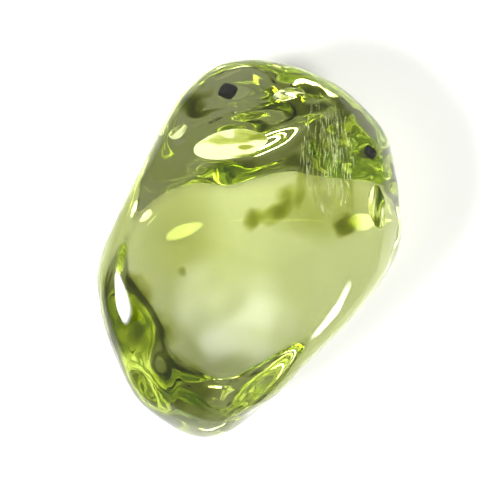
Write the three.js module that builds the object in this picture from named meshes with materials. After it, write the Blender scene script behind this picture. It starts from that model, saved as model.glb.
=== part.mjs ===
// A tumbled peridot pebble: one clear, yellow-green piece of olivine, about 8 mm wide and 10 mm long.
// It broke from the rough with flat and gently bulging faces, and tumbling wore its edges and corners round.
// Seen from above, +X is right, +Y is the broad back end and -Y the narrow front end. It rests on its base at z = 0.

import * as THREE from 'three';
import { mergeVertices } from 'three/addons/utils/BufferGeometryUtils.js';

// Driving dimensions, in millimetres and degrees.

// How sharply two neighbouring faces meet: at 14 the worn edges have a radius of 0.3 to 0.5 mm.
const EDGE_SHARPNESS = 14;

// The base is worn flat this far below the pebble's middle.
const REST_DEPTH = 2.56;

// Rings of triangles that each side of the starting icosahedron is cut into.
const SURFACE_DETAIL = 19;

// Each face looks along an azimuth, counted from +X towards +Y, and an elevation. Its distance is how far it lies
// from the pebble's middle, and its crown is the radius of its bulge: a large crown is nearly flat.
const FACES = [
  { name: 'base', azimuth: 0, elevation: -90, distance: 2.62, crown: 60 },
  { name: 'table', azimuth: 250, elevation: 86, distance: 2.83, crown: 34 },
  { name: 'back slope', azimuth: 95, elevation: 76, distance: 3.35, crown: 30 },
  { name: 'back right slope', azimuth: 38, elevation: 68, distance: 3.75, crown: 16 },
  { name: 'right slope', azimuth: 350, elevation: 60, distance: 3.90, crown: 16 },
  { name: 'front slope', azimuth: 275, elevation: 50, distance: 4.90, crown: 14 },
  { name: 'front left slope', azimuth: 222, elevation: 52, distance: 4.90, crown: 16 },
  { name: 'right side', azimuth: 358, elevation: -4, distance: 4.05, crown: 14 },
  { name: 'back right side', azimuth: 44, elevation: 0, distance: 4.92, crown: 18 },
  { name: 'back end', azimuth: 98, elevation: 12, distance: 6.05, crown: 14 },
  { name: 'back left side', azimuth: 154, elevation: -3, distance: 3.54, crown: 40 },
  { name: 'left side', azimuth: 194, elevation: -3, distance: 4.44, crown: 24 },
  { name: 'front left side', azimuth: 226, elevation: 4, distance: 5.78, crown: 20 },
  { name: 'front end', azimuth: 262, elevation: 10, distance: 5.68, crown: 12 },
  { name: 'front right side', azimuth: 317, elevation: -4, distance: 3.16, crown: 60 },
  { name: 'back underside', azimuth: 95, elevation: -50, distance: 2.75, crown: 22 },
  { name: 'right underside', azimuth: 12, elevation: -50, distance: 4.11, crown: 14 },
  { name: 'front right underside', azimuth: 317, elevation: -50, distance: 3.47, crown: 20 },
  { name: 'front underside', azimuth: 290, elevation: -47, distance: 3.65, crown: 24 },
  { name: 'front left underside', azimuth: 217, elevation: -47, distance: 3.72, crown: 24 },
  { name: 'left underside', azimuth: 190, elevation: -50, distance: 4.15, crown: 14 },
  { name: 'back left underside', azimuth: 154, elevation: -50, distance: 3.72, crown: 20 },
];

// Shallow shell-shaped hollows where flakes came off. Each is centred in the direction of its azimuth and
// elevation; its length runs level before it is turned anticlockwise, as seen from outside.
const HOLLOWS = [
  { name: 'lens-shaped flake', azimuth: 98, elevation: 33, length: 2.6, width: 1.2, turn: 5, depth: 0.10 },
  { name: 'back rim flake', azimuth: 76, elevation: 22, length: 1.7, width: 1.1, turn: -25, depth: 0.10 },
  { name: 'back right flake', azimuth: 45, elevation: 30, length: 2.2, width: 1.3, turn: 30, depth: 0.09 },
  { name: 'right rim flake', azimuth: 17, elevation: 20, length: 1.7, width: 1.0, turn: 70, depth: 0.09 },
  { name: 'back left flake', azimuth: 140, elevation: 10, length: 2.2, width: 1.6, turn: 15, depth: 0.09 },
  { name: 'left flake', azimuth: 196, elevation: 14, length: 1.9, width: 1.4, turn: 60, depth: 0.12 },
  { name: 'front left flake', azimuth: 232, elevation: 24, length: 2.6, width: 1.3, turn: -20, depth: 0.15 },
  { name: 'front flake', azimuth: 270, elevation: 20, length: 1.8, width: 1.2, turn: 10, depth: 0.11 },
  { name: 'front right flake', azimuth: 322, elevation: -14, length: 2.4, width: 1.3, turn: 8, depth: 0.10 },
  { name: 'lower back flake', azimuth: 88, elevation: -24, length: 2.4, width: 1.6, turn: -12, depth: 0.12 },
  { name: 'lower left flake', azimuth: 186, elevation: -26, length: 2.0, width: 1.3, turn: 20, depth: 0.11 },
];

// Tumbling leaves low waves on the sides, and least on the table and the base.
const WAVE_COUNT = 7;
const LONGEST_WAVE = 3.4;
const SHORTEST_WAVE = 1.5;
const WAVE_HEIGHT = 0.016;
const FLATS_CALM = 0.8;

const GOLDEN_ANGLE = Math.PI * (3 - Math.sqrt(5));

// The unit direction that an azimuth and an elevation in degrees point to.
function direction(azimuth, elevation) {
  const around = THREE.MathUtils.degToRad(azimuth);
  const up = THREE.MathUtils.degToRad(elevation);
  return new THREE.Vector3(Math.cos(around) * Math.cos(up), Math.sin(around) * Math.cos(up), Math.sin(up));
}

// How far it is along a unit direction from the pebble's middle to the sphere that a face bulges on.
function reachOfFace(along, face) {
  const lean = along.dot(direction(face.azimuth, face.elevation));
  const setback = face.crown - face.distance;
  return Math.sqrt(face.crown ** 2 - setback ** 2 * (1 - lean ** 2)) - setback * lean;
}

// The faces blended into one rounded body: the nearest face wins, and near an edge both pull the surface in.
function reachOfBody(along) {
  let sum = 0;
  for (const face of FACES) {
    sum += reachOfFace(along, face) ** -EDGE_SHARPNESS;
  }
  return sum ** (-1 / EDGE_SHARPNESS);
}

// How deep a hollow is at a point: a smooth oval bowl, (1 - s^2)^2 deep at the share s of the way to its rim.
function depthOfHollow(point, hollow) {
  const outward = direction(hollow.azimuth, hollow.elevation);
  if (point.dot(outward) <= 0) {
    return 0;
  }
  const level = new THREE.Vector3(-outward.y, outward.x, 0).normalize();
  const upward = new THREE.Vector3().crossVectors(outward, level);
  const turn = THREE.MathUtils.degToRad(hollow.turn);
  const across = point.dot(level);
  const above = point.dot(upward);
  const alongLength = (across * Math.cos(turn) + above * Math.sin(turn)) / (hollow.length / 2);
  const alongWidth = (above * Math.cos(turn) - across * Math.sin(turn)) / (hollow.width / 2);
  const share = alongLength ** 2 + alongWidth ** 2;
  return share < 1 ? hollow.depth * (1 - share) ** 2 : 0;
}

// The height of the tumbled waves at a point: plane waves whose directions spread evenly over a sphere.
function heightOfWaves(point, along) {
  let height = 0;
  for (let i = 0; i < WAVE_COUNT; i++) {
    const rise = 1 - (2 * (i + 0.5)) / WAVE_COUNT;
    const spread = Math.sqrt(1 - rise ** 2);
    const heading = new THREE.Vector3(
      spread * Math.cos(i * GOLDEN_ANGLE), spread * Math.sin(i * GOLDEN_ANGLE), rise);
    const wavelength = LONGEST_WAVE + ((SHORTEST_WAVE - LONGEST_WAVE) * i) / (WAVE_COUNT - 1);
    height += Math.sin((2 * Math.PI * point.dot(heading)) / wavelength + i);
  }
  return WAVE_HEIGHT * height * (1 - FLATS_CALM * along.z ** 2);
}

// The pebble's surface in one direction: the rounded body, its waves and hollows, ground flat at the base.
function surfacePoint(along) {
  const bodyPoint = along.clone().multiplyScalar(reachOfBody(along));
  let reach = bodyPoint.length() + heightOfWaves(bodyPoint, along);
  for (const hollow of HOLLOWS) {
    reach -= depthOfHollow(bodyPoint, hollow);
  }
  const point = along.clone().multiplyScalar(reach);
  point.z = Math.max(point.z, -REST_DEPTH);
  return point;
}

// An even net of triangles with every vertex moved out to the surface, set down with its base at z = 0 and
// its outline centred on the origin.
function pebbleGeometry() {
  const net = new THREE.IcosahedronGeometry(1, SURFACE_DETAIL);
  net.deleteAttribute('normal');
  net.deleteAttribute('uv');
  const geometry = mergeVertices(net);
  const position = geometry.attributes.position;
  const along = new THREE.Vector3();
  for (let i = 0; i < position.count; i++) {
    along.fromBufferAttribute(position, i).normalize();
    const point = surfacePoint(along);
    position.setXYZ(i, point.x, point.y, point.z);
  }
  geometry.computeBoundingBox();
  const box = geometry.boundingBox;
  geometry.translate(-(box.min.x + box.max.x) / 2, -(box.min.y + box.max.y) / 2, REST_DEPTH);
  geometry.computeVertexNormals();
  return geometry;
}

// Polished peridot, seen here as a clear yellow-green body.
function peridotMaterial() {
  return new THREE.MeshStandardMaterial({
    color: '#b9cb6f',
    roughness: 0.1,
    metalness: 0,
    transparent: true,
    opacity: 0.55,
  });
}

const pebble = new THREE.Mesh(pebbleGeometry(), peridotMaterial());
pebble.name = 'peridot_pebble';

const part = new THREE.Group();
part.add(pebble);

export default part;
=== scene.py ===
import bpy
import numpy as np
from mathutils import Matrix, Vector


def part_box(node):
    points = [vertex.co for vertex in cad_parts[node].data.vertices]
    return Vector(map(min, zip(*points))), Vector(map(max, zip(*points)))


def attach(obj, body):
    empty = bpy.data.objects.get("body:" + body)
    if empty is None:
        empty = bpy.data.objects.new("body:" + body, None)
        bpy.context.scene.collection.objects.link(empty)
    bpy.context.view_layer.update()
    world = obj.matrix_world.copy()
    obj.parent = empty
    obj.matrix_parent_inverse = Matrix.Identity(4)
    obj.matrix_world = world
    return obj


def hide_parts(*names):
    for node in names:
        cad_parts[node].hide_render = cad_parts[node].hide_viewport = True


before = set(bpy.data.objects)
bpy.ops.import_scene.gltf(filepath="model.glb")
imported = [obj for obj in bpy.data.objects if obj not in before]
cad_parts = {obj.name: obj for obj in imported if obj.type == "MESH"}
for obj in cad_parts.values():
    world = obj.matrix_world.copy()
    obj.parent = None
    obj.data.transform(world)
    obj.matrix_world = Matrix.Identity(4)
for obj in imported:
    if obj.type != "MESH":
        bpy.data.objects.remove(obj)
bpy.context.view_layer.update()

# The stone's outside: one piece of peridot, the clear yellow-green gem form of olivine. It broke from the
# rough along flat and gently bulging faces, and days in a tumbler with ever finer grit wore its edges round.
EDGE_SHARPNESS = 14
REST_DEPTH = 2.56
SKIN_CELLS = 104

# azimuth from +X towards +Y, elevation, distance from the stone's middle and bulge radius, in degrees and mm
FACES = {
    "base": (0, -90, 2.62, 60),
    "table": (250, 86, 2.83, 34),
    "back slope": (95, 76, 3.35, 30),
    "back right slope": (38, 68, 3.75, 16),
    "right slope": (350, 60, 3.90, 16),
    "front slope": (275, 50, 4.90, 14),
    "front left slope": (222, 52, 4.90, 16),
    "right side": (358, -4, 4.05, 14),
    "back right side": (44, 0, 4.92, 18),
    "back end": (98, 12, 6.05, 14),
    "back left side": (154, -3, 3.54, 40),
    "left side": (194, -3, 4.44, 24),
    "front left side": (226, 4, 5.78, 20),
    "front end": (262, 10, 5.68, 12),
    "front right side": (317, -4, 3.16, 60),
    "back underside": (95, -50, 2.75, 22),
    "right underside": (12, -50, 4.11, 14),
    "front right underside": (317, -50, 3.47, 20),
    "front underside": (290, -47, 3.65, 24),
    "front left underside": (217, -47, 3.72, 24),
    "left underside": (190, -50, 4.15, 14),
    "back left underside": (154, -50, 3.72, 20),
}

# azimuth, elevation, length, width, turn and depth of each hollow where a flake came off
HOLLOWS = {
    "lens-shaped flake": (98, 33, 2.6, 1.2, 5, 0.10),
    "back rim flake": (76, 22, 1.7, 1.1, -25, 0.10),
    "back right flake": (45, 30, 2.2, 1.3, 30, 0.09),
    "right rim flake": (17, 20, 1.7, 1.0, 70, 0.09),
    "back left flake": (140, 10, 2.2, 1.6, 15, 0.09),
    "left flake": (196, 14, 1.9, 1.4, 60, 0.12),
    "front left flake": (232, 24, 2.6, 1.3, -20, 0.15),
    "front flake": (270, 20, 1.8, 1.2, 10, 0.11),
    "front right flake": (322, -14, 2.4, 1.3, 8, 0.10),
    "lower back flake": (88, -24, 2.4, 1.6, -12, 0.12),
    "lower left flake": (186, -26, 2.0, 1.3, 20, 0.11),
}

# how many waves, their longest and shortest length and their height in mm: the broad ones are the CAD's
BROAD_WAVES = (7, 3.4, 1.5, 0.016)
FINE_WAVES = (21, 1.3, 0.5, 0.0009)
FLATS_CALM = 0.8
GOLDEN_ANGLE = np.pi * (3 - 5 ** 0.5)


def direction(azimuth, elevation):
    """The unit vector that an azimuth and an elevation in degrees point to."""
    around, up = np.radians(azimuth), np.radians(elevation)
    return np.array([np.cos(around) * np.cos(up), np.sin(around) * np.cos(up), np.sin(up)])


def facing(azimuth, elevation, turn=0):
    """Three unit vectors, as rows: a level one and an upward one, both turned anticlockwise about the third,
    which faces along the azimuth and the elevation."""
    outward = direction(azimuth, elevation)
    level = np.array([-outward[1], outward[0], 0]) / np.hypot(outward[0], outward[1])
    upward = np.cross(outward, level)
    c, s = np.cos(np.radians(turn)), np.sin(np.radians(turn))
    return np.array([level * c + upward * s, upward * c - level * s, outward])


def cube_sphere(cells):
    """Unit directions u(face, a, b) = (outward + tan(a) right + tan(b) up), made length 1, with a and b from
    -45 to 45 degrees on each of a cube's six faces, and the quads that join them. Seams are welded."""
    tangent = np.tan(np.linspace(-np.pi / 4, np.pi / 4, cells + 1))
    a, b = np.meshgrid(tangent, tangent, indexing="ij")
    outward = np.vstack([np.eye(3), -np.eye(3)])
    right = np.roll(outward, 1, axis=1)
    up = np.cross(outward, right)
    rays = (outward[:, None, None] + a[None, ..., None] * right[:, None, None]
            + b[None, ..., None] * up[:, None, None])
    rays = (rays / np.linalg.norm(rays, axis=-1, keepdims=True)).reshape(-1, 3)
    number = np.arange(len(rays)).reshape(6, cells + 1, cells + 1)
    corners = (number[:, :-1, :-1], number[:, 1:, :-1], number[:, 1:, 1:], number[:, :-1, 1:])
    _, first, welded = np.unique(np.round(rays, 6), axis=0, return_index=True, return_inverse=True)
    return rays[first], welded.reshape(-1)[np.stack(corners, axis=-1).reshape(-1, 4)]


def body_reach(along):
    """The rounded body: (sum of r^-P)^(-1/P), r being the reach along a direction to each face's sphere."""
    total = np.zeros(len(along))
    for azimuth, elevation, distance, crown in FACES.values():
        lean = along @ direction(azimuth, elevation)
        setback = crown - distance
        reach = np.sqrt(crown ** 2 - setback ** 2 * (1 - lean ** 2)) - setback * lean
        total += reach ** -EDGE_SHARPNESS
    return total ** (-1 / EDGE_SHARPNESS)


def wave_height(point, along, count, longest, shortest, height):
    """Tumbled waves: the sum of plane waves in evenly spread directions, fading towards the flats."""
    total = np.zeros(len(point))
    for i in range(count):
        rise = 1 - 2 * (i + 0.5) / count
        spread = np.sqrt(1 - rise ** 2)
        heading = np.array([spread * np.cos(i * GOLDEN_ANGLE), spread * np.sin(i * GOLDEN_ANGLE), rise])
        wavelength = longest + (shortest - longest) * i / (count - 1)
        total += np.sin(2 * np.pi * (point @ heading) / wavelength + i)
    return height * total * (1 - FLATS_CALM * along[:, 2] ** 2)


def hollow_depth(point, azimuth, elevation, length, width, turn, depth):
    """A smooth oval bowl: depth times (1 - s^2)^2 at the share s of the way from its middle to its rim."""
    across, above, outward = facing(azimuth, elevation, turn) @ point.T
    share = (across / (length / 2)) ** 2 + (above / (width / 2)) ** 2
    return np.where(outward > 0, depth * np.clip(1 - share, 0, None) ** 2, 0)


def stone_skin(along):
    """The stone's skin in mm from its middle: rounded body, waves and hollows, worn flat at the base."""
    body = along * body_reach(along)[:, None]
    reach = np.linalg.norm(body, axis=1)
    reach += wave_height(body, along, *BROAD_WAVES) + wave_height(body, along, *FINE_WAVES)
    for hollow in HOLLOWS.values():
        reach -= hollow_depth(body, *hollow)
    point = along * reach[:, None]
    point[:, 2] = np.maximum(point[:, 2], -REST_DEPTH)
    return point


along, skin_quads = cube_sphere(SKIN_CELLS)
skin = stone_skin(along)
low, high = skin.min(0), skin.max(0)
outline_middle = np.array([(low[0] + high[0]) / 2, (low[1] + high[1]) / 2, 0])
shells = [skin]
shell_quads = [skin_quads]

# Cracks inside the stone: thin films of air that the knocks of mining and tumbling opened. Each is a cavity,
# so its faces look into the film. Light strikes these flat enough to be thrown back as from a mirror.
CRACK_CELLS = 14

# place in mm from the outline's middle and from the stone's middle height, azimuth and elevation that the
# film faces, its length, width, turn and thickness, how high its ripples are, and how far its rims bow up
CRACKS = {
    "lens-shaped flash": ((-0.52, 2.67, 1.3), 278, 38, 1.9, 1.2, 0, 0.030, 0.006, 0.0),
    "small left flash": ((-1.80, 3.00, 1.3), 320, 38, 0.5, 0.45, 0, 0.020, 0.006, 0.0),
    "back flash": ((1.00, 4.00, 1.2), 278, 38, 0.85, 0.7, -10, 0.025, 0.006, 0.0),
    "right flash": ((3.10, 1.08, 1.0), 180, 36, 1.1, 0.9, 0, 0.025, 0.008, 0.03),
}


def crack_film(along, place, azimuth, elevation, length, width, turn, gap, ripple, bow):
    """A ball pressed flat to a film: length, width and gap times its direction. It bows up as the square of
    the way across its width, and two crossed ripples bend it."""
    across, above = along[:, 0] * length / 2, along[:, 1] * width / 2
    ripples = np.sin(5 * across + 1) * np.cos(4 * above) + np.sin(9 * above + 3 * across)
    outward = along[:, 2] * gap / 2 + ripple * ripples + bow * along[:, 1] ** 2
    return np.array(place) + np.stack([across, above, outward], axis=1) @ facing(azimuth, elevation, turn)


crack_along, crack_quads = cube_sphere(CRACK_CELLS)
for place, *form in CRACKS.values():
    shell_quads.append(crack_quads[:, ::-1] + sum(len(shell) for shell in shells))
    shells.append(crack_film(crack_along, outline_middle + place, *form))

# A veil of droplets: where an old crack healed, it trapped tiny drops of fluid, drawn out into fine upright
# threads. Each is a cavity too.
DROPLET_CELLS = 2
DROPLET_COUNT = 360
DROPLET_WIDTH = 0.014

# the narrowest and the widest droplet as shares of that width, and their shares of it in the veil's middle
# and at its rim
DROPLET_WIDTHS = (0.6, 1.5)
DROPLET_THINNING = (1.15, 0.65)

# the shortest and the longest droplet and how deep each is, in its own widths
DROPLET_LENGTHS = (8, 28)
DROPLET_DEPTH = 0.8

# place, azimuth and elevation that the veil faces, its length and width
VEIL = ((1.95, 2.40, 1.1), 180, 68, 3.0, 1.4)

# how high the veil waves and how far its droplets stray from it, in mm
VEIL_WAVE = 0.10
VEIL_SCATTER = 0.06


def between(ends, share):
    """The value at a share of the way from the first end to the last."""
    return ends[0] + (ends[1] - ends[0]) * share


def droplet_veil(along, place, azimuth, elevation, length, width):
    """Balls strewn evenly over an oval and a little off its waving plane, smaller towards its rim, and drawn
    out along its length."""
    draw = np.random.default_rng(0)
    share = np.sqrt(draw.random(DROPLET_COUNT))
    around = 2 * np.pi * draw.random(DROPLET_COUNT)
    across, above = share * np.cos(around), share * np.sin(around)
    off_plane = VEIL_WAVE * np.sin(5 * across) + VEIL_SCATTER * draw.standard_normal(DROPLET_COUNT)
    middle = np.stack([across * length / 2, above * width / 2, off_plane], axis=1)
    half = DROPLET_WIDTH / 2 * between(DROPLET_WIDTHS, draw.random(DROPLET_COUNT))
    half *= between(DROPLET_THINNING, share)
    stretch = np.ones((DROPLET_COUNT, 3))
    stretch[:, 0] = between(DROPLET_LENGTHS, draw.random(DROPLET_COUNT))
    stretch[:, 2] = DROPLET_DEPTH
    ball = middle[:, None] + along[None] * (half[:, None] * stretch)[:, None]
    return np.array(place) + ball.reshape(-1, 3) @ facing(azimuth, elevation)


droplet_along, droplet_quads = cube_sphere(DROPLET_CELLS)
first_of_each = sum(len(shell) for shell in shells) + len(droplet_along) * np.arange(DROPLET_COUNT)
veil_place, *veil_form = VEIL
shell_quads.append((droplet_quads[None, :, ::-1] + first_of_each[:, None, None]).reshape(-1, 4))
shells.append(droplet_veil(droplet_along, outline_middle + veil_place, *veil_form))

# The stone: skin, cracks and droplets are one mesh of one clear material, set in the CAD stone's box.
box_low, box_high = (np.array(corner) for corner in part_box("peridot_pebble"))


def in_the_box(point):
    """Points in mm from the stone's middle, moved and fitted to the CAD stone's box in metres."""
    share = (point - low) / (high - low)
    return box_low + share * (box_high - box_low)


def mesh_object(name, points, quads, material):
    """A smooth-shaded mesh object at the origin from an array of points in metres and an array of quads."""
    mesh = bpy.data.meshes.new(name)
    mesh.from_pydata(points, [], quads)
    mesh.polygons.foreach_set("use_smooth", np.ones(len(quads), bool))
    mesh.materials.append(material)
    mesh.update()
    made = bpy.data.objects.new(name, mesh)
    bpy.context.scene.collection.objects.link(made)
    return made


def add(tree, kind, settings=None, **links):
    """A node of a kind, with input values or properties set by name and inputs linked by name to outputs."""
    node = tree.nodes.new(kind)
    for key, value in (settings or {}).items():
        if key in node.inputs:
            node.inputs[key].default_value = value
        else:
            setattr(node, key, value)
    for key, output in links.items():
        tree.links.new(node.inputs[key.replace("_", " ")], output)
    return node


def clear_body(name, roughness, index, colour, density):
    """A see-through material: a surface that bends light by its index, and a body that takes some out."""
    material = bpy.data.materials.new(name)
    material.use_nodes = True
    tree = material.node_tree
    tree.nodes.clear()
    surface = add(tree, "ShaderNodeBsdfPrincipled", {
        "Base Color": (1, 1, 1, 1), "Roughness": roughness, "IOR": index, "Transmission Weight": 1.0})
    body = add(tree, "ShaderNodeVolumeAbsorption", {"Color": (*colour, 1), "Density": density})
    add(tree, "ShaderNodeOutputMaterial", {}, Surface=surface.outputs[0], Volume=body.outputs[0])
    return material


# Peridot, tumbled with grit and then polished: smooth and bright, strongly refracting, and yellow-green all
# through, because 10 mm of it lets through 76% of the red, 83% of the green and 36% of the blue.
tumble_polished_peridot = clear_body(
    "tumble_polished_peridot", roughness=0.02, index=1.67, colour=(0.8133, 0.8733, 0.32), density=150)

stone_points = in_the_box(np.vstack(shells))
stone = mesh_object("peridot_stone", stone_points, np.vstack(shell_quads), tumble_polished_peridot)
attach(stone, "root")
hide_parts("peridot_pebble")

# Chromite: black grains of an iron and chromium oxide that the peridot grew around. They are closed bodies
# sealed in the stone, stubby eight-sided crystals with worn corners.
GRAIN_CELLS = 10
GRAIN_ROUNDNESS = 1.4
GRAIN_SHARES = (1.0, 0.9, 1.33)

# place in mm from the outline's middle and from the stone's middle height, size, and the azimuth and
# elevation that the grain's long axis points to
GRAINS = {
    "back grain": ((-0.58, 4.14, 1.55), 0.42, 20, 10),
    "right grain": ((3.09, 2.52, 1.45), 0.38, 100, 25),
}


def linear(hex_colour):
    """An sRGB hex colour as linear red, green, blue and alpha 1."""
    srgb = np.array([int(hex_colour[i:i + 2], 16) for i in (1, 3, 5)]) / 255
    light = np.where(srgb <= 0.04045, srgb / 12.92, ((srgb + 0.055) / 1.055) ** 2.4)
    return (*light.tolist(), 1.0)


def grain_skin(along, place, size, azimuth, elevation):
    """A rounded eight-sided crystal, (|x|^p + |y|^p + |z|^p)^(-1/p), a third longer along its axis."""
    reach = (np.abs(along) ** GRAIN_ROUNDNESS).sum(axis=1) ** (-1 / GRAIN_ROUNDNESS)
    shape = along * reach[:, None] * size / 2 * np.array(GRAIN_SHARES)
    return np.array(place) + shape @ facing(azimuth, elevation)


def joined(skins, quads):
    """Bodies of one net as one: their points in the CAD stone's box, and the quads numbered on."""
    numbers = [quads + i * len(skins[0]) for i in range(len(skins))]
    return in_the_box(np.vstack(skins)), np.vstack(numbers)


def matt_body(name, colour, roughness):
    """A solid material of one colour that no light comes through."""
    material = bpy.data.materials.new(name)
    material.use_nodes = True
    surface = material.node_tree.nodes["Principled BSDF"]
    surface.inputs["Base Color"].default_value = linear(colour)
    surface.inputs["Roughness"].default_value = roughness
    return material


# Chromite, as grown: nearly black with a dull, half-metallic gloss.
chromite = matt_body("chromite", "#050503", roughness=0.6)

grain_along, grain_quads = cube_sphere(GRAIN_CELLS)
grain_skins = [grain_skin(grain_along, outline_middle + place, *form) for place, *form in GRAINS.values()]
grains = mesh_object("chromite_grains", *joined(grain_skins, grain_quads), chromite)
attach(grains, "root")

# Iron stain and painted shade: clouds of limonite, the yellow-brown rust that water leaves along healed
# cracks, and clouds of the same tint that stand in for shade. Its dust is too fine to show, so each cloud is
# a closed body sealed in the stone, and it only tints what is seen through it. The lens's painted shadow
# line, the left painted shade and the left, left rim and front clouds are painted shade, not stain.
CLOUD_CELLS = 16

# how far a cloud's rim wavers in and out, as shares of its reach, three and five times round it
CLOUD_WAVERS = (0.10, 0.06)

# place in mm, azimuth and elevation that the cloud faces, its length, width, turn and thickness, and how
# strongly its thickness is mottled. The clouds lie clear of each other.
STAINS_AND_SHADE = {
    "olive streak": ((0.73, 0.98, 1.0), 118, 74, 1.2, 0.58, 0, 0.50, 0.3),
    "olive streak's end": ((0.10, 0.82, 0.2), 118, 74, 0.75, 0.6, 20, 0.45, 0.3),
    "olive streak's hook": ((0.95, 1.38, 0.1), 118, 74, 0.6, 0.7, 40, 0.25, 0.3),
    "right spot": ((2.30, 0.62, 0.2), 118, 70, 0.6, 0.7, 0, 0.55, 0.6),
    "first upright streak": ((1.35, 1.75, -0.4), 180, 70, 1.6, 0.40, -8, 0.30, 0.6),
    "second upright streak": ((1.70, 2.40, 1.3), 0, 76, 2.6, 0.40, 0, 0.25, 0.6),
    "third upright streak": ((2.30, 2.20, 0.8), 0, 76, 3.0, 0.30, 6, 0.30, 0.6),
    "upper right haze": ((1.65, 1.00, -0.9), 0, 88, 1.7, 2.3, 0, 0.16, 0.2),
    "back left cloud": ((-1.45, 3.70, 0.9), 130, 60, 0.8, 0.6, 10, 0.45, 0.6),
    # Painted shadow: a thin dark line along the lower edge of the lens-shaped flash.
    "lens's painted shadow line": ((-0.36, 2.15, 1.3), 98, 74, 2.2, 0.35, 0, 0.40, 0.6),
    # Painted shade: a faint wide tint that darkens the left part of the window.
    "left painted shade": ((-1.70, 0.50, -0.8), 0, 88, 3.6, 2.5, 0, 0.09, 0.1),
    # Painted shade: these three clouds dim the lower left crescent and the front rim, mottled like stain.
    "left cloud": ((-2.60, -2.05, 0.4), 220, 60, 1.9, 1.2, 50, 0.45, 0.6),
    "left rim cloud": ((-2.95, -1.35, -0.6), 0, 86, 1.8, 1.1, 0, 0.60, 0.3),
    "front cloud": ((-1.60, -3.30, 0.0), 220, 60, 2.0, 1.3, 10, 0.50, 0.6),
    "middle speck": ((-1.76, -0.52, 1.2), 0, 88, 0.32, 0.28, 0, 0.30, 0.0),
}


def stain_and_shade_cloud(along, place, azimuth, elevation, length, width, turn, thickness, mottled):
    """A flattened ball that thins to its rim as (1 - s^2)^1.5. Its rim wavers by sines of the angle round
    it, and its thickness by crossed sines of the place on it."""
    around = np.arctan2(along[:, 1], along[:, 0])
    broad, fine = CLOUD_WAVERS
    waver = broad * np.sin(3 * around + 9 * length) + fine * np.sin(5 * around + 7 * width)
    rim = 1 + waver * (along[:, 0] ** 2 + along[:, 1] ** 2)
    across, above = along[:, 0] * rim * length / 2, along[:, 1] * rim * width / 2
    mottle = 1 + mottled * np.sin(9 * across + 2 * length) * np.sin(11 * above + 1)
    outward = along[:, 2] ** 3 * mottle * thickness / 2
    return np.array(place) + np.stack([across, above, outward], axis=1) @ facing(azimuth, elevation, turn)


# Limonite, as fine dust in the clear stone: it keeps the stone's own index, so its index against the stone
# is 1, and it takes out blue most, so that light comes through it olive and brown. The painted shade clouds
# use the same tint.
limonite_and_painted_shade = clear_body(
    "limonite_and_painted_shade", roughness=0.0, index=1.0, colour=(0.63, 0.66, 0.05), density=6600)

cloud_along, cloud_quads = cube_sphere(CLOUD_CELLS)
stain_and_shade_skins = [stain_and_shade_cloud(cloud_along, outline_middle + place, *form) for place, *form in STAINS_AND_SHADE.values()]
stain_and_shade_clouds = mesh_object("iron_stains_and_painted_shade", *joined(stain_and_shade_skins, cloud_quads), limonite_and_painted_shade)
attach(stain_and_shade_clouds, "root")

# The floor: a sheet of white paper, flat under the stone and curved up a little towards its far edges.
PAPER_SIDE = 0.96
PAPER_CELLS = 64
FLAT_RADIUS = 0.4
CURVE_REACH = 0.08
CURVE_RISE = 0.07
UNDER_THE_STONE = 0.00002


def paper_sheet():
    """A square grid whose height is the rise times s^2, at the share s of the way from flat to risen."""
    side = np.linspace(-PAPER_SIDE / 2, PAPER_SIDE / 2, PAPER_CELLS + 1)
    x, y = np.meshgrid(side, side, indexing="ij")
    share = np.clip((np.hypot(x, y) - FLAT_RADIUS) / CURVE_REACH, 0, 1)
    points = np.stack([x, y, CURVE_RISE * share ** 2 - UNDER_THE_STONE], axis=-1)
    number = np.arange(x.size).reshape(x.shape)
    quads = np.stack([number[:-1, :-1], number[1:, :-1], number[1:, 1:], number[:-1, 1:]], axis=-1)
    return points.reshape(-1, 3), quads.reshape(-1, 4)


# Drawing paper: matt and white.
white_paper = matt_body("white_paper", "#f4f4f2", roughness=0.9)
floor = mesh_object("floor", *paper_sheet(), white_paper)

# The light: a dim room and soft cards above the stone, each brightest in its middle.
ROOM_BRIGHTNESS = 0.30

# azimuth, elevation, distance, width and height in metres, brightness, and the share of it that fades
CARDS = {
    "left_card": (203, 52, 0.25, 0.10, 0.10, 68, 0.35),
    "right_card": (320, 52, 0.25, 0.10, 0.10, 46, 0.35),
    "sheen_card": (262, 74, 0.40, 0.15, 0.15, 5, 0.5),
}


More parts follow.
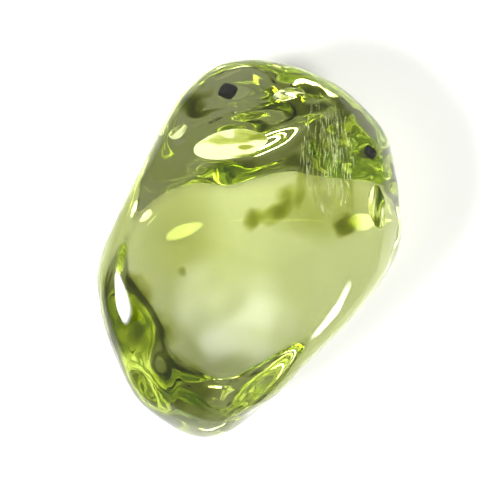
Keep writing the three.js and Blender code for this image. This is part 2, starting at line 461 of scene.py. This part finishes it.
def soft_light(name, brightness, fade):
    """Light that falls off smoothly from a card's middle to its rim."""
    material = bpy.data.materials.new(name)
    material.use_nodes = True
    tree = material.node_tree
    tree.nodes.clear()
    place = add(tree, "ShaderNodeUVMap")
    distance = add(tree, "ShaderNodeVectorMath", {"operation": "LENGTH"}, Vector=place.outputs["UV"])
    falloff = add(tree, "ShaderNodeMapRange", {
        "interpolation_type": "SMOOTHSTEP", "From Min": 0.5 - fade, "From Max": 0.5,
        "To Min": brightness, "To Max": 0.0}, Value=distance.outputs["Value"])
    glow = add(tree, "ShaderNodeEmission", {}, Strength=falloff.outputs["Result"])
    add(tree, "ShaderNodeOutputMaterial", {}, Surface=glow.outputs[0])
    return material


def soft_card(name, azimuth, elevation, distance, width, height, brightness, fade):
    """A flat card that faces the stone. It lights the stone but doesn't show in the picture."""
    right, up, back = facing(azimuth, elevation)
    corners = np.array([(-0.5, -0.5), (0.5, -0.5), (0.5, 0.5), (-0.5, 0.5)])
    points = back * distance + corners[:, :1] * width * right + corners[:, 1:] * height * up
    card = mesh_object(name, points, np.array([[0, 1, 2, 3]]), soft_light(name, brightness, fade))
    from_middle = card.data.uv_layers.new(name="from_middle")
    from_middle.data.foreach_set("uv", corners.reshape(-1))
    card.visible_camera = False


for name, form in CARDS.items():
    soft_card(name, *form)

room = bpy.data.worlds.new("room")
room.use_nodes = True
room.node_tree.nodes["Background"].inputs["Color"].default_value = (1, 1, 1, 1)
room.node_tree.nodes["Background"].inputs["Strength"].default_value = ROOM_BRIGHTNESS
bpy.context.scene.world = room

# Light runs back and forth many times inside a clear stone before it gets out.
LIGHT_BOUNCES = 48
bpy.context.scene.cycles.max_bounces = LIGHT_BOUNCES
bpy.context.scene.cycles.transmission_bounces = LIGHT_BOUNCES
bpy.context.scene.cycles.glossy_bounces = LIGHT_BOUNCES

# The camera: straight above, far enough for a flat view, framing 13.5 mm across at the stone's height.
CAMERA_HEIGHT = 0.078
camera_data = bpy.data.cameras.new("camera")
camera_data.lens = 200
camera_data.sensor_width = 36
camera_data.clip_start = 0.001
camera = bpy.data.objects.new("camera", camera_data)
camera.location = (0, 0, CAMERA_HEIGHT)
bpy.context.scene.collection.objects.link(camera)
bpy.context.scene.camera = camera
bpy.context.scene.view_settings.view_transform = "Standard"
